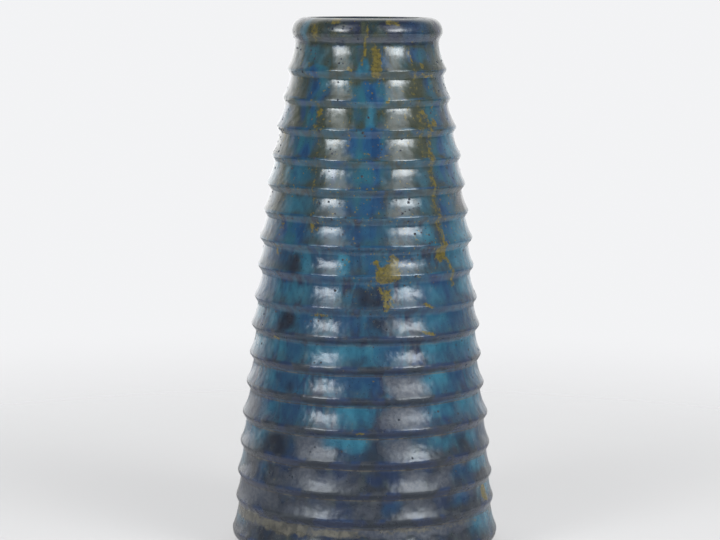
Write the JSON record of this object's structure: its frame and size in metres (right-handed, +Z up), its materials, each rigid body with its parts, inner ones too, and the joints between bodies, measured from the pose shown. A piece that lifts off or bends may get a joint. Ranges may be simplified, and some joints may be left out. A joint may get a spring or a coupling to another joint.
{
  "type": "stoneware vase",
  "caption": "Tall conical vase, ribbed all the way up, with a rolled mouth, a lustrous blue glaze outside, a glazed inside and a bare clay foot ring to stand on.",
  "frame": {"origin": "centre of the foot ring's resting face, on the vase's axis", "axes": "+Z up along the axis that the vase was turned on, from the foot to the mouth; X and Y are across it"},
  "size_m": [0.1624, 0.1624, 0.32],
  "materials": {
    "bare_clay": "unglazed brown stoneware, matt, fine grit",
    "outside_glaze": "satin lustre glaze, blue and turquoise running over gunmetal grey and olive, with ochre marks and pinholes",
    "inside_glaze": "dark satin liner glaze"
  },
  "bodies": {
    "root": {"foot_ring": "bare_clay", "base_slab": "bare_clay", "stoneware_wall": "bare_clay", "rim_roll": "bare_clay", "outer_glaze": "outside_glaze", "inner_glaze": "inside_glaze"}
  },
  "joints": []
}
